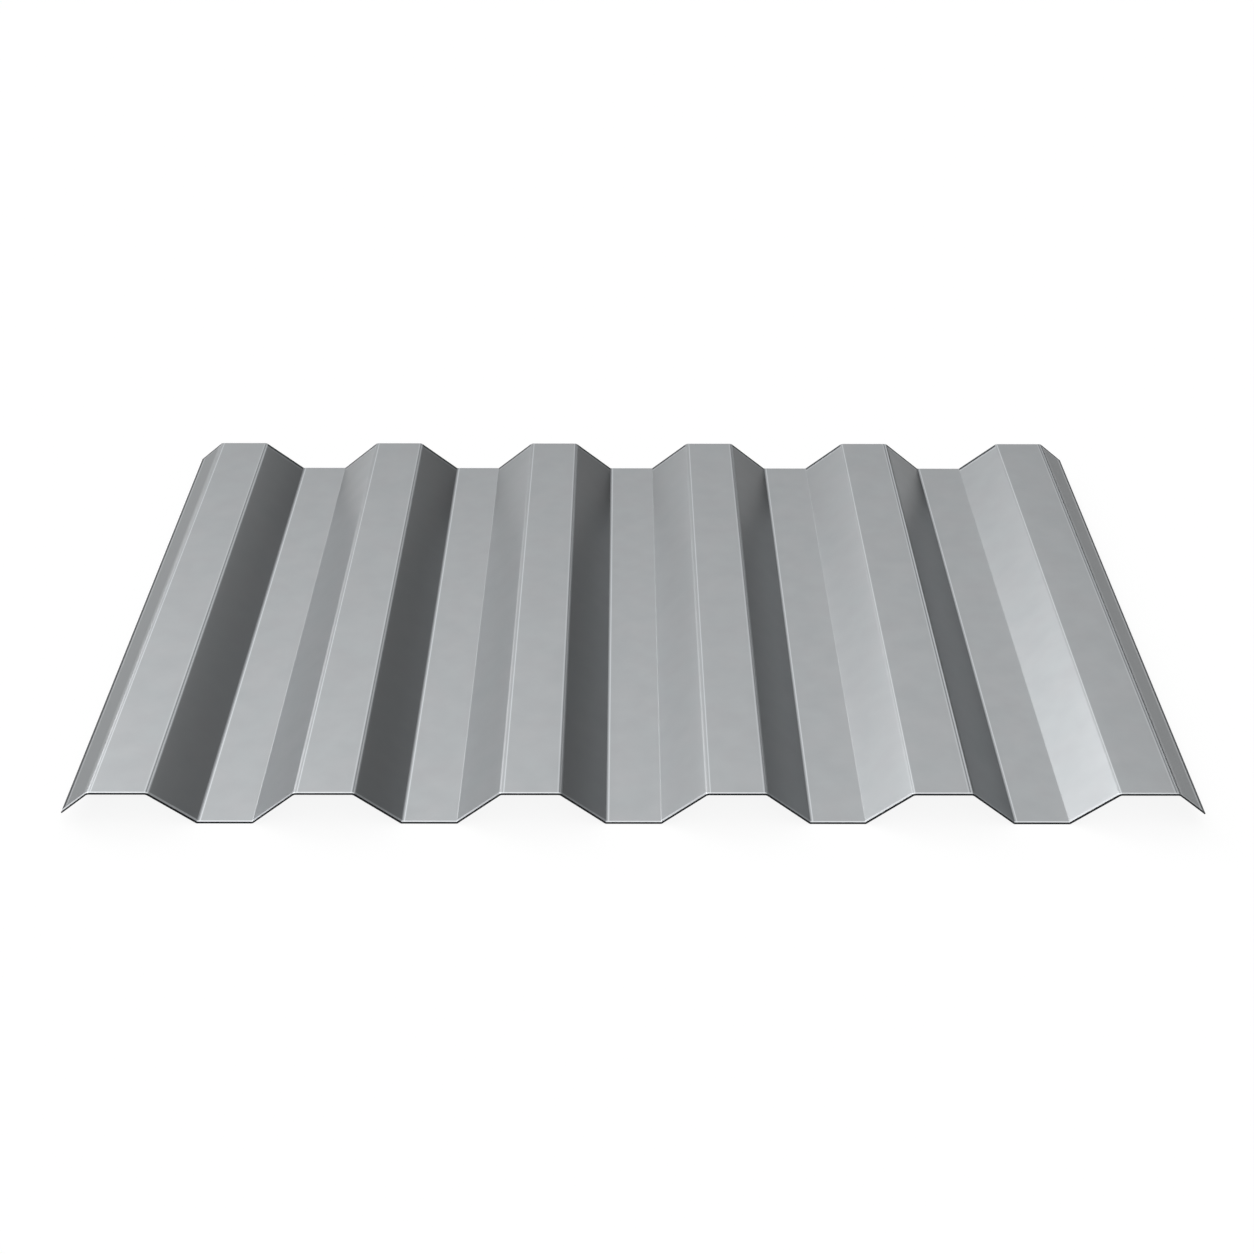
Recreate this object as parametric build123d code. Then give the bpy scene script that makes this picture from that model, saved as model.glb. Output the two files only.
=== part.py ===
from build123d import *
import os

# Trapezoidal roofing sheet, roll formed from one strip of galvanised steel.
# X runs across the ribs, Y along them and Z up. The origin is under the middle
# trough, halfway along the sheet, on the plane that the troughs rest on.
# Sizes are millimetres. Widths and depth are those of the underside, between
# the sharp corners that the bends would have without their radius.

# Driving dimensions
SHEET_LENGTH = 700.0
GAUGE = 1.0
RIB_COUNT = 6
RIB_PITCH = 200.0
RIB_DEPTH = 36.5
CREST_WIDTH = 57.0
TROUGH_WIDTH = 55.0
LAP_LEG_DROP = 23.5
CREST_BEND_RADIUS = 5.0
FOOT_BEND_RADIUS = 2.0

# Sizes that follow from the driving dimensions
web_run = (RIB_PITCH - CREST_WIDTH - TROUGH_WIDTH) / 2
lap_leg_run = web_run * LAP_LEG_DROP / RIB_DEPTH
foot_outside_radius = FOOT_BEND_RADIUS + GAUGE
first_crest_x = -RIB_PITCH * (RIB_COUNT - 1) / 2
last_crest_x = -first_crest_x
lap_leg_tip_x = last_crest_x + CREST_WIDTH / 2 + lap_leg_run
lap_leg_tip_z = RIB_DEPTH - LAP_LEG_DROP


def flat_corners(centre_x, width, height):
    """The two ends of one flat of the underside, left one first."""
    left = (centre_x - width / 2, height)
    right = (centre_x + width / 2, height)
    return [left, right]


# The underside of the strip, walked from the left lap edge to the right one.
# Both bend radii are inside radii: soft over the crests, crisp at the feet of the
# webs. Where the strip turns down over a crest its underside is on the inside of
# the bend. At the foot of a web it is on the outside, so the radius there is
# larger by the gauge, and both faces of every bend stay concentric.
corners = [(-lap_leg_tip_x, lap_leg_tip_z)]
bend_radii = []
for rib in range(RIB_COUNT):
    crest_x = first_crest_x + rib * RIB_PITCH
    corners += flat_corners(crest_x, CREST_WIDTH, RIB_DEPTH)
    bend_radii += [CREST_BEND_RADIUS, CREST_BEND_RADIUS]
    if rib < RIB_COUNT - 1:
        corners += flat_corners(crest_x + RIB_PITCH / 2, TROUGH_WIDTH, 0)
        bend_radii += [foot_outside_radius, foot_outside_radius]
corners.append((lap_leg_tip_x, lap_leg_tip_z))

# The section is the underside line thickened upwards by the gauge, with square
# lap edges, and it is carried half the length each way from the middle.
with BuildPart() as sheet:
    with BuildSketch(Plane.XZ):
        with BuildLine():
            FilletPolyline(*corners, radius=bend_radii)
            offset(amount=GAUGE, side=Side.LEFT)
        make_face()
    extrude(amount=SHEET_LENGTH / 2, both=True)

sheet.part.label = "profiled_sheet"
sheet.part.color = Color(0.66, 0.67, 0.68)

os.makedirs("parts", exist_ok=True)
export_step(sheet.part, "parts/profiled_sheet.step")
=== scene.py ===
# %% [markdown]
# # A profiled roofing sheet
#
# The object is one sheet of galvanised steel, roll formed into six flat crests and
# five flat troughs. This lesson folds it from a flat grid with Geometry Nodes, gives
# it two finishes, the zinc skin and the sheared rim, and lights it as a product is
# lit in a studio. Every length is in metres, in the frame of the CAD model: X runs
# across the ribs, Y along them and Z up. The CAD model is loaded first, so that what
# is made here can be measured against it.

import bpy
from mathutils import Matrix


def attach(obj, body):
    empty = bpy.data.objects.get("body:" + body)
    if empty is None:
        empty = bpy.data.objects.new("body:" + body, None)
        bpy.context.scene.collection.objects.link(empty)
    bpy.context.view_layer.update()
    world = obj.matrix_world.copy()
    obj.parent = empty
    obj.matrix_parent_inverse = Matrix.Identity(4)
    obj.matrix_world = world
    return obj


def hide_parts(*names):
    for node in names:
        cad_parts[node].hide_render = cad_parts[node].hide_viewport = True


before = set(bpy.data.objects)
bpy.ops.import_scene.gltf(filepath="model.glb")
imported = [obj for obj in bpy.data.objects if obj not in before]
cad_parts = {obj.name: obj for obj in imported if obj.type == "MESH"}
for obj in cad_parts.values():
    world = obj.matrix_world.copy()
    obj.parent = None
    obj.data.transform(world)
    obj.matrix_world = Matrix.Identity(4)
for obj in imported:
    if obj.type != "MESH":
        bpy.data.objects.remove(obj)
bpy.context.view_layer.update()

# %% Libraries
import math

import bpy
from mathutils import Matrix, Vector

MM = 0.001
print("Blender", bpy.app.version_string)

# %% [markdown]
# ## Sizes
#
# A roll former bends a flat strip along straight lines, so a whole sheet follows
# from a handful of sizes. They are those of the CAD model. Widths and depth belong
# to the underside, between the corners that the bends would have without a radius.

# %% Sizes of the sheet
RIBS = 6
PITCH = 200 * MM
DEPTH = 36.5 * MM
CREST_WIDTH = 57 * MM
TROUGH_WIDTH = 55 * MM
LEG_DROP = 23.5 * MM
CREST_BEND = 5 * MM
FOOT_BEND = 2 * MM
GAUGE = 1 * MM
LENGTH = 700 * MM
WEB_RUN = (PITCH - CREST_WIDTH - TROUGH_WIDTH) / 2
SLOPE = math.atan2(DEPTH, WEB_RUN)
print(f"webs rise {math.degrees(SLOPE):.1f} degrees, cover width {(RIBS - 1) * PITCH:.3f} m")

# %% [markdown]
# ## One way to add a node
#
# Geometry and material trees are both built here, node by node. One small function
# adds a node, sets its options and feeds its inputs. A feed can be a plain value, an
# output socket, or another node, which stands for that node's first output. Inputs
# go by name where the name is unique, and else by number: those of a Math node are
# 0, 1 and 2, and those of a Mix node have the names given here.

# %% Add a node
MIX_VALUE_A, MIX_VALUE_B = 2, 3
MIX_COLOUR_A, MIX_COLOUR_B = 6, 7
MIX_COLOUR_OUT = 2


def node(tree, kind, feeds=None, **options):
    made = tree.nodes.new(kind)
    for name, value in options.items():
        setattr(made, name, value)
    for socket, value in (feeds or {}).items():
        if isinstance(value, bpy.types.Node):
            value = next(out for out in value.outputs if out.enabled)
        if isinstance(value, bpy.types.NodeSocket):
            tree.links.new(value, made.inputs[socket])
        else:
            made.inputs[socket].default_value = value
    return made


# %% [markdown]
# ## Colours
#
# A colour is written as it looks on a screen, as an sRGB hex value. Blender reckons
# light in linear values, so one function turns the first into the second.

# %% Colours from hex
def linear(code, alpha=1.0):
    """The linear colour of an sRGB hex value such as A5A8AB."""
    parts = [int(code[i:i + 2], 16) / 255 for i in (0, 2, 4)]
    parts = [p / 12.92 if p <= 0.04045 else ((p + 0.055) / 1.055) ** 2.4 for p in parts]
    return (*parts, alpha)


print("zinc grey, linear", [round(part, 3) for part in linear("A3A5A7")])

# %% [markdown]
# ## The zinc skin
#
# The sheet is hot-dip galvanised steel. After the zinc bath the strip is skin passed:
# a pair of matt rolls presses the crystals flat. What is left for the eye is a satin,
# slightly blue grey with soft clouds a few centimetres wide and a faint grain along
# the strip. A metal has no colour of its own under the gloss, so the shader is fully
# metallic, and the detail goes into the tint, the roughness and a very small bump.
# Object coordinates keep every pattern at its size in millimetres. The distances to
# the cuts come from the mesh, where the tree that folds the sheet stores them.

# %% Zinc: where a point lies and which way it faces
zinc = bpy.data.materials.new("skin_passed_galvanised_steel")
zinc.use_nodes = True
tree = zinc.node_tree
zinc_skin = tree.nodes["Principled BSDF"]
zinc_skin.inputs["Metallic"].default_value = 1.0
coordinates = node(tree, "ShaderNodeTexCoord").outputs
place = coordinates["Object"]
spot = node(tree, "ShaderNodeSeparateXYZ", {0: place}).outputs
facing = node(tree, "ShaderNodeSeparateXYZ", {0: coordinates["Normal"]}).outputs
edge = node(tree, "ShaderNodeAttribute", attribute_name="edge").outputs["Vector"]
edge = node(tree, "ShaderNodeSeparateXYZ", {0: edge}).outputs
print(len(tree.nodes), "nodes to start from")

# %% [markdown]
# ### Clouds and tint
#
# The zinc took a little more of the matt rolls here and a little less there, and its
# tint drifts from warm to cool. Two soft noises draw that, and their contrast is kept
# to three steps of 255, as far as one sees it on new sheet.

# %% Zinc: clouds and tint
CLOUD = 26 * MM
TINT_PATCH = 42 * MM
clouds = node(tree, "ShaderNodeTexNoise",
              {"Vector": place, "Scale": 1 / CLOUD, "Detail": 2.0, "Roughness": 0.45})
clouds = node(tree, "ShaderNodeMapRange", {"Value": clouds, "From Min": 0.3, "From Max": 0.7})
patches = node(tree, "ShaderNodeTexNoise",
               {"Vector": place, "Scale": 1 / TINT_PATCH, "Detail": 1.0})
patches = node(tree, "ShaderNodeMapRange",
               {"Value": patches, "From Min": 0.35, "From Max": 0.65})
dull = node(tree, "ShaderNodeMix",
            {"Factor": patches, MIX_COLOUR_A: linear("9FA2A4"), MIX_COLOUR_B: linear("A0A2A4")},
            data_type="RGBA")
clear = node(tree, "ShaderNodeMix",
             {"Factor": patches, MIX_COLOUR_A: linear("A2A5A7"), MIX_COLOUR_B: linear("A3A5A7")},
             data_type="RGBA")
colour = node(tree, "ShaderNodeMix",
              {"Factor": clouds, MIX_COLOUR_A: dull, MIX_COLOUR_B: clear}, data_type="RGBA")
print(f"clouds {CLOUD / MM:.0f} mm wide, patches of tint {TINT_PATCH / MM:.0f} mm")

# %% [markdown]
# ### Grain
#
# The matt rolls leave a fine grain along the strip and a pebbled ground. A bump that
# is a few thousandths of a millimetre high turns them into a slight shimmer. The real
# grain is about 0.2 mm wide. It is drawn 1.5 mm wide, or no picture would show it.

# %% Zinc: grain of the matt rolls
GRAIN_WIDTH = 1.5 * MM
GRAIN_LENGTH = 30 * MM
PEBBLE = 3 * MM
GRAIN_HEIGHT = 0.005 * MM
stretch = (1 / GRAIN_WIDTH, 1 / GRAIN_LENGTH, 1 / GRAIN_WIDTH)
drawn = node(tree, "ShaderNodeMapping", {"Vector": place, "Scale": stretch})
grain = node(tree, "ShaderNodeTexNoise", {"Vector": drawn, "Scale": 1.0, "Detail": 2.0})
pebble = node(tree, "ShaderNodeTexNoise", {"Vector": place, "Scale": 1 / PEBBLE, "Detail": 2.0})
height = node(tree, "ShaderNodeMath", {0: grain, 1: pebble}, operation="ADD")
bump = node(tree, "ShaderNodeBump",
            {"Height": height, "Strength": 1.0, "Distance": GRAIN_HEIGHT})
tree.links.new(bump.outputs["Normal"], zinc_skin.inputs["Normal"])
print(f"grain {GRAIN_WIDTH / MM} x {GRAIN_LENGTH / MM:.0f} mm, {GRAIN_HEIGHT / MM} mm high")

# %% [markdown]
# ### Painted highlights and shade along the bends
#
# Where a bend begins and ends, thin bright lines are painted highlights, a little glossier
# than the zinc. Over the right shoulder of a crest, between two such lines, and at the
# foot of a web, a dark line is painted shade. The marks repeat with the ribs. Wrapping X
# to one pitch gives the place across the nearest rib, and a soft band about each mark
# gives its share of painted highlight or painted shade. On the two ribs on the right the
# marks on the shoulders sit two millimetres further left.

# %% Zinc: table of the marks
HALF_CREST = CREST_WIDTH / 2
FOOT = (PITCH - TROUGH_WIDTH) / 2
# The table holds painted highlights and painted shade along the bends
# Each mark has a title, its place across the rib, half its width and its strength
PAINTED_BEND_LINES = {
    "painted_highlight": (
        ("crest, left shoulder", -HALF_CREST + 2.7 * MM, 1.0 * MM, 0.6),
        ("crest, right shoulder", HALF_CREST - 1.9 * MM, 1.0 * MM, 0.3),
        ("web, under the right shoulder", HALF_CREST + 1.5 * MM, 1.5 * MM, 0.85),
        ("trough, at the foot", FOOT + 3.1 * MM, 1.0 * MM, 0.65),
    ),
    "painted_shade": (
        ("right shoulder, between the lines", HALF_CREST - 0.3 * MM, 0.9 * MM, 0.8),
        ("web, at the foot", FOOT + 0.8 * MM, 1.3 * MM, 0.8),
    ),
}
print(sum(len(lines) for lines in PAINTED_BEND_LINES.values()), "marks on each rib")

# %% Zinc: painted highlight and painted shade lines along the bends
FIRST_CREST = -(RIBS - 1) / 2 * PITCH
LAST_CREST = -FIRST_CREST
# The painted shoulder lines on the two ribs on the right move this far left
LAST_RIBS_SHIFT = -2 * MM
LAST_RIBS_SHIFT_FROM, LAST_RIBS_SHIFT_FULL = 100 * MM, 250 * MM
# Colours of the painted highlight lines and of the painted shade lines
HIGHLIGHT_ZINC = linear("D6DADD")
SHADE_LINE_ZINC = linear("6A6D70")
across = node(tree, "ShaderNodeMath", {0: spot["X"], 1: FIRST_CREST}, operation="SUBTRACT")
across = node(tree, "ShaderNodeMath", {0: across, 1: PITCH / 2, 2: -PITCH / 2},
              operation="WRAP")
last_ribs = node(tree, "ShaderNodeMapRange",
                 {"Value": spot["X"], "From Min": LAST_RIBS_SHIFT_FROM, "From Max": LAST_RIBS_SHIFT_FULL,
                  "To Max": LAST_RIBS_SHIFT})
shifted = node(tree, "ShaderNodeMath", {0: across, 1: last_ribs}, operation="SUBTRACT")
marks = {}
for finish, lines in PAINTED_BEND_LINES.items():
    marks[finish] = 0.0
    for title, middle, half_width, strength in lines:
        start = across if middle > FOOT else shifted
        away = node(tree, "ShaderNodeMath", {0: start, 1: middle}, operation="SUBTRACT")
        away = node(tree, "ShaderNodeMath", {0: away}, operation="ABSOLUTE")
        band = node(tree, "ShaderNodeMapRange",
                    {"Value": away, "From Max": half_width, "To Min": strength, "To Max": 0.0},
                    interpolation_type="SMOOTHSTEP", label=title)
        marks[finish] = node(tree, "ShaderNodeMath", {0: band, 1: marks[finish]},
                             operation="ADD")
colour = node(tree, "ShaderNodeMix",
              {"Factor": marks["painted_highlight"], MIX_COLOUR_A: colour, MIX_COLOUR_B: HIGHLIGHT_ZINC},
              data_type="RGBA")
colour = node(tree, "ShaderNodeMix",
              {"Factor": marks["painted_shade"], MIX_COLOUR_A: colour, MIX_COLOUR_B: SHADE_LINE_ZINC},
              data_type="RGBA")
print("marks", {finish: len(lines) for finish, lines in PAINTED_BEND_LINES.items()})

# %% [markdown]
# ### Painted light and shade on the webs
#
# The webs are painted lighter towards the shoulder and darker towards the foot: painted
# light and painted shade across each web. The flats keep their tint. The webs that face
# right are painted alike, and those that face left less from rib to rib.
# A flat's normal has a Z of 1 and a web's one of 0.77, which tells the two apart.

# %% Zinc: webs painted lighter towards the shoulder, darker towards the foot
# Webs: painted light towards the shoulder, painted shade towards the foot
WEB_SHADING = 0.16
WEB_SHADING_ON_LAST_LEFT = 0.02
WEB_UPRIGHT, FLAT_UPRIGHT = 0.8, 0.9
upright = node(tree, "ShaderNodeMath", {0: facing["Z"]}, operation="ABSOLUTE")
sloping = node(tree, "ShaderNodeMapRange",
               {"Value": upright, "From Min": WEB_UPRIGHT, "From Max": FLAT_UPRIGHT,
                "To Min": 1.0, "To Max": 0.0})
climbed = node(tree, "ShaderNodeMapRange",
               {"Value": spot["Z"], "From Max": DEPTH, "To Min": -1.0, "To Max": 1.0})
left_web_shading = node(tree, "ShaderNodeMapRange",
                   {"Value": spot["X"], "From Min": FIRST_CREST, "From Max": LAST_CREST,
                    "To Min": WEB_SHADING, "To Max": WEB_SHADING_ON_LAST_LEFT})
faces_right = node(tree, "ShaderNodeMath", {0: facing["X"], 1: 0.0}, operation="GREATER_THAN")
web_shading = node(tree, "ShaderNodeMix",
           {"Factor": faces_right, MIX_VALUE_A: left_web_shading, MIX_VALUE_B: WEB_SHADING})
web_shading = node(tree, "ShaderNodeMath", {0: web_shading, 1: sloping}, operation="MULTIPLY")
web_shading = node(tree, "ShaderNodeMath", {0: web_shading, 1: climbed, 2: 1.0}, operation="MULTIPLY_ADD")
colour = node(tree, "ShaderNodeVectorMath", {0: colour, "Scale": web_shading}, operation="SCALE")
print(f"the upright of a web's normal is {math.cos(SLOPE):.2f}")

# %% [markdown]
# ### The metal beside the cuts
#
# The two lap legs are painted a little darker, as painted shade. Along the strip's own
# edges a dark matt margin four millimetres wide is painted shade of the edge, with a
# lighter line inside it that is a painted highlight. At the back end the webs get the same
# painted dark margin. All three follow from the distances to the cuts. On the flats a spare
# length is added to the distance from the back, so the margin leaves them out.

# %% Zinc: painted shade on the legs and along the cuts
# The legs' darker colour is painted shade
LEG_SHADE_ZINC = linear("8A8D8F")
LEG_FULL, LEG_END = 30 * MM, 36 * MM
# The dark margin along the cuts is painted shade of the edge
EDGE_SHADE_ZINC = linear("4A4D50")
EDGE_SHADE_FULL, EDGE_SHADE_END = 3.6 * MM, 4.4 * MM
# The lighter line inside the margin is a painted highlight
EDGE_HIGHLIGHT_LINE, EDGE_HIGHLIGHT_HALF_WIDTH, EDGE_HIGHLIGHT_STRENGTH = 6.2 * MM, 2.4 * MM, 0.3
SPARE = 20 * MM
leg_shade = node(tree, "ShaderNodeMapRange",
           {"Value": edge["X"], "From Min": LEG_FULL, "From Max": LEG_END,
            "To Min": 1.0, "To Max": 0.0})
colour = node(tree, "ShaderNodeMix",
              {"Factor": leg_shade, MIX_COLOUR_A: colour, MIX_COLOUR_B: LEG_SHADE_ZINC}, data_type="RGBA")
from_back = node(tree, "ShaderNodeMath", {0: LENGTH, 1: edge["Y"]}, operation="SUBTRACT")
web_end = node(tree, "ShaderNodeMath", {0: sloping, 1: -SPARE, 2: from_back},
               operation="MULTIPLY_ADD")
web_end = node(tree, "ShaderNodeMath", {0: web_end, 1: SPARE}, operation="ADD")
to_cut = node(tree, "ShaderNodeMath", {0: edge["X"], 1: web_end}, operation="MINIMUM")
edge_highlight = node(tree, "ShaderNodeMath", {0: to_cut, 1: EDGE_HIGHLIGHT_LINE}, operation="SUBTRACT")
edge_highlight = node(tree, "ShaderNodeMath", {0: edge_highlight}, operation="ABSOLUTE")
edge_highlight = node(tree, "ShaderNodeMapRange",
              {"Value": edge_highlight, "From Max": EDGE_HIGHLIGHT_HALF_WIDTH, "To Min": EDGE_HIGHLIGHT_STRENGTH,
               "To Max": 0.0}, interpolation_type="SMOOTHSTEP")
colour = node(tree, "ShaderNodeMix",
              {"Factor": edge_highlight, MIX_COLOUR_A: colour, MIX_COLOUR_B: HIGHLIGHT_ZINC},
              data_type="RGBA")
edge_shade = node(tree, "ShaderNodeMapRange",
              {"Value": to_cut, "From Min": EDGE_SHADE_FULL, "From Max": EDGE_SHADE_END,
               "To Min": 1.0, "To Max": 0.0}, interpolation_type="SMOOTHSTEP")
colour = node(tree, "ShaderNodeMix",
              {"Factor": edge_shade, MIX_COLOUR_A: colour, MIX_COLOUR_B: EDGE_SHADE_ZINC},
              data_type="RGBA")
print(f"legs {LEG_FULL / MM:.0f} mm, margins {EDGE_SHADE_END / MM} mm wide")

# %% [markdown]
# ### The front cut
#
# A band about three millimetres wide along the front end is a painted highlight, and
# its last one and a half millimetres are painted shade that widens the dark rim. The
# highlight is strongest on the webs on the left and weakest on the webs on the right. On
# the webs the highlight band is wider by half and the shade band hardly.

# %% Zinc: painted highlight and painted shade at the front end
# A painted highlight along the front end
FRONT_HIGHLIGHT_ZINC = linear("E0E3E6")
FRONT_HIGHLIGHT_FULL, FRONT_HIGHLIGHT_END, FRONT_HIGHLIGHT_WIDER = 3.0 * MM, 3.5 * MM, 1.5 * MM
# Painted shade along the last millimetres of the front end, widening the dark rim
FRONT_SHADE_STEEL = linear("1E2022")
FRONT_SHADE_FULL, FRONT_SHADE_END, FRONT_SHADE_WIDER = 1.4 * MM, 1.8 * MM, 0.2 * MM
# Share of the painted highlight on the flats and on the first and last web
ON_FLATS = 0.72
ON_FIRST_WEB, ON_LAST_WEB = 1.0, 0.15
front_highlight = node(tree, "ShaderNodeMath", {0: sloping, 1: -FRONT_HIGHLIGHT_WIDER, 2: edge["Y"]},
                 operation="MULTIPLY_ADD")
front_highlight = node(tree, "ShaderNodeMapRange",
                 {"Value": front_highlight, "From Min": FRONT_HIGHLIGHT_FULL, "From Max": FRONT_HIGHLIGHT_END,
                  "To Min": 1.0, "To Max": 0.0}, interpolation_type="SMOOTHSTEP")
on_webs = node(tree, "ShaderNodeMapRange",
               {"Value": spot["X"], "From Min": FIRST_CREST, "From Max": LAST_CREST,
                "To Min": ON_FIRST_WEB, "To Max": ON_LAST_WEB})
highlight_share = node(tree, "ShaderNodeMix",
             {"Factor": sloping, MIX_VALUE_A: ON_FLATS, MIX_VALUE_B: on_webs})
front_highlight = node(tree, "ShaderNodeMath", {0: front_highlight, 1: highlight_share}, operation="MULTIPLY")
colour = node(tree, "ShaderNodeMix",
              {"Factor": front_highlight, MIX_COLOUR_A: colour, MIX_COLOUR_B: FRONT_HIGHLIGHT_ZINC},
              data_type="RGBA")
front_shade = node(tree, "ShaderNodeMath", {0: sloping, 1: -FRONT_SHADE_WIDER, 2: edge["Y"]},
            operation="MULTIPLY_ADD")
front_shade = node(tree, "ShaderNodeMapRange",
            {"Value": front_shade, "From Min": FRONT_SHADE_FULL, "From Max": FRONT_SHADE_END,
             "To Min": 1.0, "To Max": 0.0}, interpolation_type="SMOOTHSTEP")
colour = node(tree, "ShaderNodeMix",
              {"Factor": front_shade, MIX_COLOUR_A: colour, MIX_COLOUR_B: FRONT_SHADE_STEEL},
              data_type="RGBA")
print(f"burnished to {FRONT_HIGHLIGHT_END / MM} mm, torn to {FRONT_SHADE_END / MM} mm")

# %% [markdown]
# ### Gloss
#
# Skin passed zinc is satin: a lamp in it is a wide glow, not a picture of the lamp.
# The clear clouds are a trace glossier than the dull ones, the painted highlight lines
# more so, and the painted shade bands at the front end and along the edges are matt.
# The finished colour and roughness are then linked to the shader.

# %% Zinc: gloss and the finished skin
DULL_ROUGHNESS, CLEAR_ROUGHNESS = 0.405, 0.395
POLISH = -0.02
MATTING = 0.2
rough = node(tree, "ShaderNodeMapRange",
             {"Value": clouds, "To Min": DULL_ROUGHNESS, "To Max": CLEAR_ROUGHNESS})
rough = node(tree, "ShaderNodeMath", {0: marks["painted_highlight"], 1: POLISH, 2: rough},
             operation="MULTIPLY_ADD")
matt = node(tree, "ShaderNodeMath", {0: front_shade, 1: edge_shade}, operation="MAXIMUM")
rough = node(tree, "ShaderNodeMath", {0: matt, 1: MATTING, 2: rough}, operation="MULTIPLY_ADD")
tree.links.new(colour.outputs[MIX_COLOUR_OUT], zinc_skin.inputs["Base Color"])
tree.links.new(rough.outputs[0], zinc_skin.inputs["Roughness"])
print(len(tree.nodes), "nodes in the zinc skin")

# %% [markdown]
# ## The sheared rim
#
# The sheet is cut by a shear. The shear first cuts a narrow shiny band at the top of
# the rim, and below it the steel breaks off and leaves a rough face. Both are coloured
# near black, painted shade of the rim, the lower face darkest. The tree that folds the
# sheet stores how far up the rim a point lies, from 0 to 1, and the colour follows that
# number. A fine noise, added to it, makes the border ragged.

# %% Sheared rim
# Near black rim colours, painted shade of the rim
BROKEN_STEEL_SHADE, SHEARED_STEEL_SHADE = linear("1E2022"), linear("3C3F41")
BROKEN_ROUGHNESS, SHEARED_ROUGHNESS = 0.65, 0.35
RAGGED = 0.8 * MM
RAGGED_SHARE = 0.3
SHEARED_FROM, SHEARED_FULL = 0.82, 0.9
cut = bpy.data.materials.new("sheared_steel_edge")
cut.use_nodes = True
tree = cut.node_tree
cut_face = tree.nodes["Principled BSDF"]
cut_face.inputs["Metallic"].default_value = 1.0
edge = node(tree, "ShaderNodeAttribute", attribute_name="edge").outputs["Vector"]
up = node(tree, "ShaderNodeSeparateXYZ", {0: edge}).outputs["Z"]
place = node(tree, "ShaderNodeTexCoord").outputs["Object"]
ragged = node(tree, "ShaderNodeTexNoise", {"Vector": place, "Scale": 1 / RAGGED, "Detail": 3.0})
ragged = node(tree, "ShaderNodeMath", {0: ragged, 1: RAGGED_SHARE, 2: up},
              operation="MULTIPLY_ADD")
sheared = node(tree, "ShaderNodeMapRange",
               {"Value": ragged, "From Min": SHEARED_FROM, "From Max": SHEARED_FULL},
               interpolation_type="SMOOTHSTEP")
colour = node(tree, "ShaderNodeMix",
              {"Factor": sheared, MIX_COLOUR_A: BROKEN_STEEL_SHADE, MIX_COLOUR_B: SHEARED_STEEL_SHADE},
              data_type="RGBA")
rough = node(tree, "ShaderNodeMapRange",
             {"Value": sheared, "To Min": BROKEN_ROUGHNESS, "To Max": SHEARED_ROUGHNESS})
tree.links.new(colour.outputs[MIX_COLOUR_OUT], cut_face.inputs["Base Color"])
tree.links.new(rough.outputs[0], cut_face.inputs["Roughness"])
print(len(tree.nodes), "nodes in the rim")

# %% [markdown]
# ## Folding the sheet
#
# The tree works as the factory does. It first draws the folded line, four points a
# rib, rounds its corners, and then lays a flat grid of metal on it, one column of the
# grid on each point of the line. Extruding that sheet by its gauge gives the metal
# its thickness. Written as a rule, one size can change and the rest follows.

# %% The tree and its inputs
fold = bpy.data.node_groups.new("fold_sheet", "GeometryNodeTree")
fold.is_modifier = True
sheet_inputs = {}
for name, kind, value in (
    ("Ribs", "NodeSocketInt", RIBS),
    ("Pitch", "NodeSocketFloat", PITCH),
    ("Depth", "NodeSocketFloat", DEPTH),
    ("Crest width", "NodeSocketFloat", CREST_WIDTH),
    ("Web run", "NodeSocketFloat", WEB_RUN),
    ("Leg drop", "NodeSocketFloat", LEG_DROP),
    ("Crest bend", "NodeSocketFloat", CREST_BEND),
    ("Foot bend", "NodeSocketFloat", FOOT_BEND),
    ("Gauge", "NodeSocketFloat", GAUGE),
    ("Length", "NodeSocketFloat", LENGTH),
    ("Bend steps", "NodeSocketInt", 14),
    ("Flat cuts", "NodeSocketInt", 4),
    ("Rows", "NodeSocketInt", 71),
    ("Unevenness", "NodeSocketFloat", 0.08 * MM),
    ("Seed", "NodeSocketFloat", 4.0),
    ("Skin", "NodeSocketMaterial", zinc),
    ("Cut edge", "NodeSocketMaterial", cut),
):
    socket = fold.interface.new_socket(name, in_out="INPUT", socket_type=kind)
    sheet_inputs[name] = (socket.identifier, value)
fold.interface.new_socket("Sheet", in_out="OUTPUT", socket_type="NodeSocketGeometry")
given = fold.nodes.new("NodeGroupInput").outputs
print(len(sheet_inputs), "inputs")

# %% [markdown]
# ### The corners of the line
#
# A rib has four corners, numbered from the left: foot, shoulder, shoulder, foot. The
# number of a point, divided by four, gives its rib, and the rest gives its corner.
# Corners above 1.5 are on the right side, and those within 1 of 1.5 are shoulders. At
# the two ends of the line the web is cut short, and that makes the lap legs.

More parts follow.
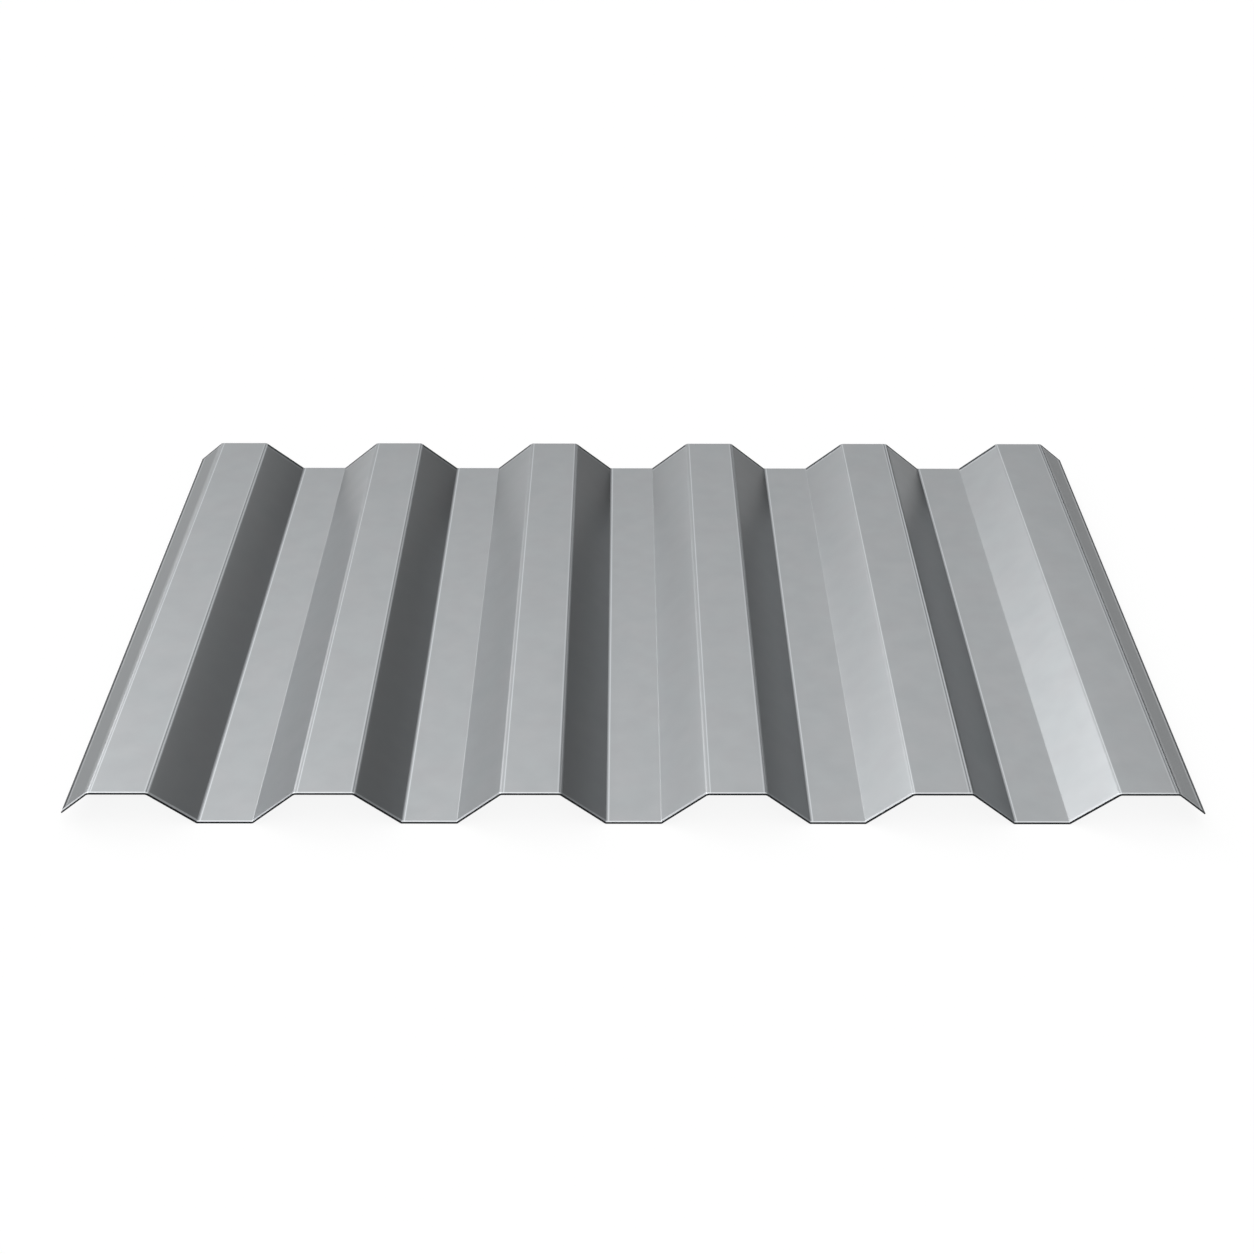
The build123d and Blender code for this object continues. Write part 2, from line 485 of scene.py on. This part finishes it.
# %% The corners of the folded line
CORNERS = 4
MIDDLE_CORNER = 1.5
count = node(fold, "FunctionNodeIntegerMath", {0: given["Ribs"], 1: CORNERS},
             operation="MULTIPLY")
line = node(fold, "GeometryNodeMeshLine", {"Count": count})
line = node(fold, "GeometryNodeMeshToCurve", {"Mesh": line})
index = node(fold, "GeometryNodeInputIndex")
rib = node(fold, "FunctionNodeIntegerMath", {0: index, 1: CORNERS}, operation="DIVIDE_FLOOR")
corner = node(fold, "FunctionNodeIntegerMath", {0: index, 1: CORNERS}, operation="MODULO")
right = node(fold, "ShaderNodeMath", {0: corner, 1: MIDDLE_CORNER}, operation="GREATER_THAN")
side = node(fold, "ShaderNodeMath", {0: right, 1: 2.0, 2: -1.0}, operation="MULTIPLY_ADD")
shoulder = node(fold, "ShaderNodeMath", {0: corner, 1: MIDDLE_CORNER, 2: 1.0},
                operation="COMPARE")
foot = node(fold, "ShaderNodeMath", {0: 1.0, 1: shoulder}, operation="SUBTRACT")
tip = node(fold, "GeometryNodeCurveEndpointSelection")
drop = node(fold, "GeometryNodeSwitch", {0: tip, 1: given["Depth"], 2: given["Leg drop"]},
            input_type="FLOAT")
fall = node(fold, "ShaderNodeMath", {0: foot, 1: drop}, operation="MULTIPLY")
print(len(fold.nodes), "nodes so far")

# %% Their places across and up
flatness = node(fold, "ShaderNodeMath", {0: given["Web run"], 1: given["Depth"]},
                operation="DIVIDE")
reach = node(fold, "ShaderNodeMath", {0: fall, 1: flatness}, operation="MULTIPLY")
half_crest = node(fold, "ShaderNodeMath", {0: given["Crest width"], 1: 0.5},
                  operation="MULTIPLY")
out = node(fold, "ShaderNodeMath", {0: half_crest, 1: reach}, operation="ADD")
out = node(fold, "ShaderNodeMath", {0: out, 1: side}, operation="MULTIPLY")
last_rib = node(fold, "ShaderNodeMath", {0: given["Ribs"], 1: 1.0}, operation="SUBTRACT")
centre = node(fold, "ShaderNodeMath", {0: last_rib, 1: -0.5, 2: rib},
              operation="MULTIPLY_ADD")
x = node(fold, "ShaderNodeMath", {0: centre, 1: given["Pitch"], 2: out},
         operation="MULTIPLY_ADD")
z = node(fold, "ShaderNodeMath", {0: given["Depth"], 1: fall}, operation="SUBTRACT")
bend_point = node(fold, "ShaderNodeCombineXYZ", {"X": x, "Z": z})
line = node(fold, "GeometryNodeSetPosition", {"Geometry": line, "Position": bend_point})
print(len(fold.nodes), "nodes so far")

# %% [markdown]
# ### Bends
#
# The inside of a bend is on the underside at a crest and on the upper side at the
# foot of a web. So the underside's radius at a foot is larger by the gauge, and both
# faces of a bend turn about the same centre. The crests are bent softly, the feet
# crisply. Then the flats are divided. A step within a bend is far shorter than 4 mm
# and every flat is longer, so the length of a step tells them apart.

# %% Round the bends and divide the flats
LONGEST_BEND_STEP = 4 * MM
outside = node(fold, "ShaderNodeMath", {0: given["Foot bend"], 1: given["Gauge"]},
               operation="ADD")
radius = node(fold, "GeometryNodeSwitch", {0: foot, 1: given["Crest bend"], 2: outside},
              input_type="FLOAT")
line = node(fold, "GeometryNodeFilletCurve", {"Curve": line, "Radius": radius}, mode="POLY")
fold.links.new(given["Bend steps"], line.inputs["Count"])
point = node(fold, "GeometryNodeInputPosition")
following = node(fold, "FunctionNodeIntegerMath", {0: index, 1: 1}, operation="ADD")
next_point = node(fold, "GeometryNodeFieldAtIndex", {"Index": following},
                  data_type="FLOAT_VECTOR")
fold.links.new(point.outputs[0], next_point.inputs["Value"])
step = node(fold, "ShaderNodeVectorMath", {0: point, 1: next_point},
            operation="DISTANCE").outputs["Value"]
is_flat = node(fold, "ShaderNodeMath", {0: step, 1: LONGEST_BEND_STEP},
               operation="GREATER_THAN")
cuts = node(fold, "ShaderNodeMath", {0: is_flat, 1: given["Flat cuts"]}, operation="MULTIPLY")
line = node(fold, "GeometryNodeSubdivideCurve", {"Curve": line, "Cuts": cuts})
print(len(fold.nodes), "nodes so far")

# %% [markdown]
# ### The grid
#
# The flat grid has a column for each point of the line, and its rows run from -1 to 1.
# A point takes its X and Z from the line and its Y from the sine of its row. The sine
# puts the rows closer together near both cuts, where the finish changes within a few
# millimetres.

# %% Lay the grid on the line
columns = node(fold, "GeometryNodeAttributeDomainSize", {"Geometry": line}, component="CURVE")
grid = node(fold, "GeometryNodeMeshGrid",
            {"Size X": 1.0, "Size Y": 2.0, "Vertices X": columns.outputs["Point Count"],
             "Vertices Y": given["Rows"]})
column = node(fold, "FunctionNodeIntegerMath", {0: index, 1: given["Rows"]},
              operation="DIVIDE_FLOOR")
on_line = node(fold, "GeometryNodeSampleIndex", {"Geometry": line, "Index": column},
               data_type="FLOAT_VECTOR", domain="POINT")
fold.links.new(point.outputs[0], on_line.inputs["Value"])
row = node(fold, "ShaderNodeSeparateXYZ", {0: point}).outputs["Y"]
angle = node(fold, "ShaderNodeMath", {0: row, 1: math.pi / 2}, operation="MULTIPLY")
eased = node(fold, "ShaderNodeMath", {0: angle}, operation="SINE")
half_length = node(fold, "ShaderNodeMath", {0: given["Length"], 1: 0.5}, operation="MULTIPLY")
y = node(fold, "ShaderNodeMath", {0: eased, 1: half_length}, operation="MULTIPLY")
shift = node(fold, "ShaderNodeCombineXYZ", {"Y": y})
folded = node(fold, "ShaderNodeVectorMath", {0: on_line, 1: shift}, operation="ADD")
print(len(fold.nodes), "nodes so far")

# %% [markdown]
# ### Distances to the cuts
#
# Both finishes change close to a cut, so the tree stores the distances on the mesh,
# where a material can read them: X is the way to the nearer side edge, measured over
# the folds, Y the way from the front end, and Z says how far up the rim a point is.

# %% Distances to the side edges and from the front end
walked = node(fold, "GeometryNodeSplineParameter").outputs["Length"]
whole = node(fold, "GeometryNodeSplineLength").outputs["Length"]
left_over = node(fold, "ShaderNodeMath", {0: whole, 1: walked}, operation="SUBTRACT")
to_side = node(fold, "ShaderNodeMath", {0: walked, 1: left_over}, operation="MINIMUM")
side_way = node(fold, "GeometryNodeSampleIndex",
                {"Geometry": line, "Value": to_side, "Index": column},
                data_type="FLOAT", domain="POINT")
front_way = node(fold, "ShaderNodeMath", {0: y, 1: half_length}, operation="ADD")
ways = node(fold, "ShaderNodeCombineXYZ", {"X": side_way, "Y": front_way})
grid = node(fold, "GeometryNodeStoreNamedAttribute",
            {"Geometry": grid.outputs["Mesh"], "Name": "edge", "Value": ways},
            data_type="FLOAT_VECTOR", domain="POINT")
strip = node(fold, "GeometryNodeSetPosition", {"Geometry": grid, "Position": folded})
print(len(fold.nodes), "nodes so far")

# %% [markdown]
# ### Unevenness
#
# Thin sheet is never quite flat. A slow noise moves the flats by a few hundredths of a
# millimetre, which bends the reflections a little.

# %% Unevenness
SWELL = 140 * MM
swell = node(fold, "ShaderNodeTexNoise",
             {"Vector": point, "W": given["Seed"], "Scale": 1 / SWELL, "Detail": 1.0},
             noise_dimensions="4D")
centred = node(fold, "ShaderNodeMath", {0: swell.outputs[0], 1: 0.5}, operation="SUBTRACT")
amount = node(fold, "ShaderNodeMath", {0: centred, 1: given["Unevenness"]},
              operation="MULTIPLY")
normal = node(fold, "GeometryNodeInputNormal")
push = node(fold, "ShaderNodeVectorMath", {0: normal, "Scale": amount}, operation="SCALE")
strip = node(fold, "GeometryNodeSetPosition", {"Geometry": strip, "Offset": push})
print(f"swells {SWELL / MM:.0f} mm wide")

# %% [markdown]
# ### Thickness and finish
#
# The strip has only one face so far, the underside. Extruding it upwards by the gauge
# adds the upper side and the rim. The stored Z is raised from 0 to 1 on the upper
# side. The rim is shaded flat and gets the finish of the cut, and the rest is shaded
# smooth and gets the zinc.

# %% Upper side and rim
UP = (0, 0, 1)
thick = node(fold, "GeometryNodeExtrudeMesh",
             {"Mesh": strip, "Offset Scale": given["Gauge"], "Individual": False})
stored = node(fold, "GeometryNodeInputNamedAttribute", {"Name": "edge"},
              data_type="FLOAT_VECTOR")
risen = node(fold, "ShaderNodeVectorMath", {0: stored.outputs["Attribute"], 1: UP},
             operation="ADD")
marked = node(fold, "GeometryNodeStoreNamedAttribute",
              {"Geometry": thick.outputs["Mesh"], "Selection": thick.outputs["Top"],
               "Name": "edge", "Value": risen}, data_type="FLOAT_VECTOR", domain="POINT")
smooth_top = node(fold, "GeometryNodeSetShadeSmooth",
                  {"Geometry": marked, "Selection": thick.outputs["Top"],
                   "Shade Smooth": True})
flat_rim = node(fold, "GeometryNodeSetShadeSmooth",
                {"Geometry": smooth_top, "Selection": thick.outputs["Side"],
                 "Shade Smooth": False})
skinned = node(fold, "GeometryNodeSetMaterial",
               {"Geometry": flat_rim, "Material": given["Skin"]})
rimmed = node(fold, "GeometryNodeSetMaterial",
              {"Geometry": skinned, "Selection": thick.outputs["Side"],
               "Material": given["Cut edge"]})
print(len(fold.nodes), "nodes so far")

# %% [markdown]
# ### Underside
#
# Extruding leaves the bottom open. The strip itself, turned over, closes it, and
# merging the doubled points makes one watertight mesh of the two.

# %% Underside, and the mesh closed
DOUBLED = 0.001 * MM
under = node(fold, "GeometryNodeFlipFaces", {"Mesh": strip})
under = node(fold, "GeometryNodeSetShadeSmooth", {"Geometry": under, "Shade Smooth": True})
under = node(fold, "GeometryNodeSetMaterial", {"Geometry": under, "Material": given["Skin"]})
joined = fold.nodes.new("GeometryNodeJoinGeometry")
fold.links.new(rimmed.outputs[0], joined.inputs[0])
fold.links.new(under.outputs[0], joined.inputs[0])
closed = node(fold, "GeometryNodeMergeByDistance", {"Geometry": joined, "Distance": DOUBLED})
solid = node(fold, "GeometryNodeRealizeInstances", {"Geometry": closed})
node(fold, "NodeGroupOutput", {"Sheet": solid})
print(len(fold.nodes), "nodes in the tree")

# %% [markdown]
# ## The finished piece
#
# A modifier runs the tree once on an empty mesh. Its result is kept as a plain mesh
# and the modifier goes, so the piece sits at the origin with its shape in its mesh,
# ready for the export. It replaces the one node of the CAD model and rides on its one
# body.

# %% Run the tree once and keep its mesh
def grown(name, tree, values):
    """A plain mesh object made by running a geometry tree once."""
    seed_mesh = bpy.data.meshes.new(name + "_seed")
    piece = bpy.data.objects.new(name, seed_mesh)
    bpy.context.scene.collection.objects.link(piece)
    modifier = piece.modifiers.new("grow", "NODES")
    modifier.node_group = tree
    for identifier, value in values.values():
        modifier[identifier] = value
    graph = bpy.context.evaluated_depsgraph_get()
    result = bpy.data.meshes.new_from_object(piece.evaluated_get(graph), depsgraph=graph)
    piece.modifiers.clear()
    piece.data = result
    result.name = name
    for slot in reversed(range(len(result.materials))):
        if result.materials[slot] is None:
            result.materials.pop(index=slot)
    bpy.data.meshes.remove(seed_mesh)
    return piece


sheet = grown("profiled_sheet_steel", fold, sheet_inputs)
triangles = sum(len(p.vertices) - 2 for p in sheet.data.polygons)
low = [min(v.co[i] for v in sheet.data.vertices) for i in range(3)]
high = [max(v.co[i] for v in sheet.data.vertices) for i in range(3)]
print("triangles", triangles, "materials", [m.name for m in sheet.data.materials])
print("box", [round(v / MM, 2) for v in low], [round(v / MM, 2) for v in high])

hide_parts("profiled_sheet")
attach(sheet, "root")

# %% [markdown]
# ## Floor
#
# The photograph shows the sheet on plain white. The floor is a large plane of white
# paper. Most of its light is its own, for the rays of the camera and for those that
# come off metal or through glass, so it looks white without more light on the sheet.
# The rest is ordinary paper, which keeps the sheet's soft shadow. The plane lies a
# hair below the troughs, or the two would flicker through each other.

# %% Floor
FLOOR_REACH = 30.0
FLOOR_DROP = -0.05 * MM
floor_mesh = bpy.data.meshes.new("studio_floor")
corners = [(x * FLOOR_REACH, y * FLOOR_REACH, FLOOR_DROP)
           for x, y in ((-1, -1), (1, -1), (1, 1), (-1, 1))]
floor_mesh.from_pydata(corners, [], [(0, 1, 2, 3)])
floor = bpy.data.objects.new("studio_floor", floor_mesh)
bpy.context.scene.collection.objects.link(floor)
print(f"floor {2 * FLOOR_REACH:.0f} m wide")

# %% Paper of the floor
OWN_LIGHT = 0.88
WHITE = (1, 1, 1, 1)
paper = bpy.data.materials.new("white_studio_paper")
paper.use_nodes = True
tree = paper.node_tree
paper_face = tree.nodes["Principled BSDF"]
paper_face.inputs["Base Color"].default_value = linear("F8F8F8")
paper_face.inputs["Roughness"].default_value = 1.0
paper_face.inputs["Specular IOR Level"].default_value = 0.0
rays = node(tree, "ShaderNodeLightPath").outputs
seen = node(tree, "ShaderNodeMath", {0: rays["Is Camera Ray"], 1: rays["Is Glossy Ray"]},
            operation="ADD")
seen = node(tree, "ShaderNodeMath", {0: seen, 1: rays["Is Transmission Ray"]},
            operation="ADD", use_clamp=True)
share = node(tree, "ShaderNodeMath", {0: seen, 1: OWN_LIGHT}, operation="MULTIPLY")
glowing = node(tree, "ShaderNodeEmission", {"Color": WHITE, "Strength": 1.0})
blend = node(tree, "ShaderNodeMixShader", {0: share, 1: paper_face, 2: glowing})
tree.links.new(blend.outputs[0], tree.nodes["Material Output"].inputs["Surface"])
floor_mesh.materials.append(paper)
print(f"{OWN_LIGHT:.0%} of the paper's light is its own")

# %% [markdown]
# ## Camera
#
# The photograph looks down on the sheet at 35 degrees from 2 m away. The lens is given
# as its focal length in pixels of the photograph, which is 1254 pixels wide. Place and
# angles were found by fitting the bends at both cut ends to the picture.

# %% Camera
IMAGE_SIDE = 1254
FOCAL_PIXELS = 1762.7
LOOK_DOWN = math.radians(34.73)
TURN = math.radians(-0.14)
ROLL = math.radians(0.15)
STAND = Vector((-10.1, -1657.6, 1140.8)) * MM
camera_data = bpy.data.cameras.new("camera")
camera = bpy.data.objects.new("camera", camera_data)
bpy.context.scene.collection.objects.link(camera)
bpy.context.scene.camera = camera
camera_data.sensor_width = 36.0
camera_data.lens = FOCAL_PIXELS / IMAGE_SIDE * camera_data.sensor_width
aim = Matrix.Rotation(TURN, 4, "Z") @ Matrix.Rotation(math.pi / 2 - LOOK_DOWN, 4, "X")
aim = aim @ Matrix.Rotation(ROLL, 4, "Z")
camera.matrix_world = Matrix.Translation(STAND) @ aim
print("lens", round(camera_data.lens, 2), "mm")

# %% [markdown]
# ## Studio light
#
# Bare metal shows the room around it. So the studio is made as a room of soft lights: a
# broad one in front, one overhead, one at each side, and four at the back, where the
# sheet's flats and webs reflect them towards the camera. The low back corner on the
# right stays dark, and that darkness is what shades every web that faces right. Each
# light is a round glow on the world, given by its direction, its reach and strength.

# %% Soft lights of the room
ROOM_LIGHT = 0.01
# Each light has a title, its turn to the right from the back, its rise above the
# horizon and its reach, all three in degrees, and its strength
SOFT_LIGHTS = (
    ("front", 180, 55, 85, 0.7),
    ("overhead", 0, 82, 35, 1.2),
    ("right side", 120, 12, 57, 0.65),
    ("left side", -117, 12, 60, 0.75),
    ("left at the back", -50, 30, 20, 4.05),
    ("back, high on the left", -35, 42, 30, 1.33),
    ("back, above the middle", 12, 42, 30, 1.1),
    ("back, high on the right", 36, 42, 30, 0.1),
)
world = bpy.data.worlds.new("studio")
bpy.context.scene.world = world
world.use_nodes = True
tree = world.node_tree
direction = node(tree, "ShaderNodeTexCoord").outputs["Generated"]
direction = node(tree, "ShaderNodeVectorMath", {0: direction}, operation="NORMALIZE")
light = ROOM_LIGHT
for title, azimuth, elevation, reach, strength in SOFT_LIGHTS:
    turn, rise = math.radians(azimuth), math.radians(elevation)
    towards = (math.sin(turn) * math.cos(rise), math.cos(turn) * math.cos(rise), math.sin(rise))
    aligned = node(tree, "ShaderNodeVectorMath", {0: direction, 1: towards},
                   operation="DOT_PRODUCT").outputs["Value"]
    glow = node(tree, "ShaderNodeMapRange",
                {"Value": aligned, "From Min": math.cos(math.radians(reach)), "From Max": 1.0,
                 "To Max": strength}, interpolation_type="SMOOTHSTEP", label=title)
    light = node(tree, "ShaderNodeMath", {0: glow, 1: light}, operation="ADD")
background = tree.nodes["Background"]
tree.links.new(light.outputs[0], background.inputs["Strength"])
background.inputs["Color"].default_value = WHITE
bpy.context.scene.view_settings.view_transform = "Standard"
print(len(SOFT_LIGHTS), "soft lights")
